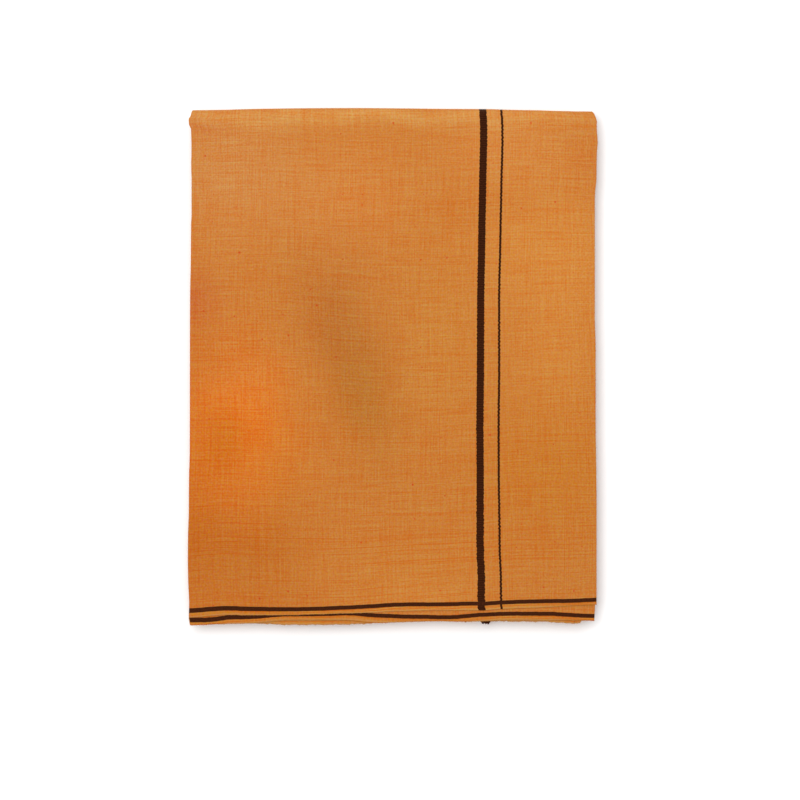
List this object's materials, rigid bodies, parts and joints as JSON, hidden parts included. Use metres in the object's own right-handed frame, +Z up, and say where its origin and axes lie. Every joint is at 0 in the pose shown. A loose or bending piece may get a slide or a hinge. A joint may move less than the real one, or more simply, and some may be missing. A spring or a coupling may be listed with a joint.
{
  "type": "folded dhoti cloth",
  "caption": "Orange cotton dhoti with dark brown border and end stripes, pressed and folded into a flat bundle that lies on a shelf.",
  "frame": {"origin": "middle of the bundle's box, on the surface that it lies on", "axes": "+Z up out of the front face, +Y towards the top fold, +X towards the side with the cross-stripes"},
  "size_m": [0.2521, 0.3185, 0.014],
  "materials": {
    "orange_cotton": "plain-woven two-tone cotton, matt, with dark brown woven stripes"
  },
  "bodies": {
    "root": {"outer_layer": "orange_cotton", "second_layer": "orange_cotton", "third_layer": "orange_cotton", "inner_layers": "orange_cotton"}
  },
  "joints": []
}
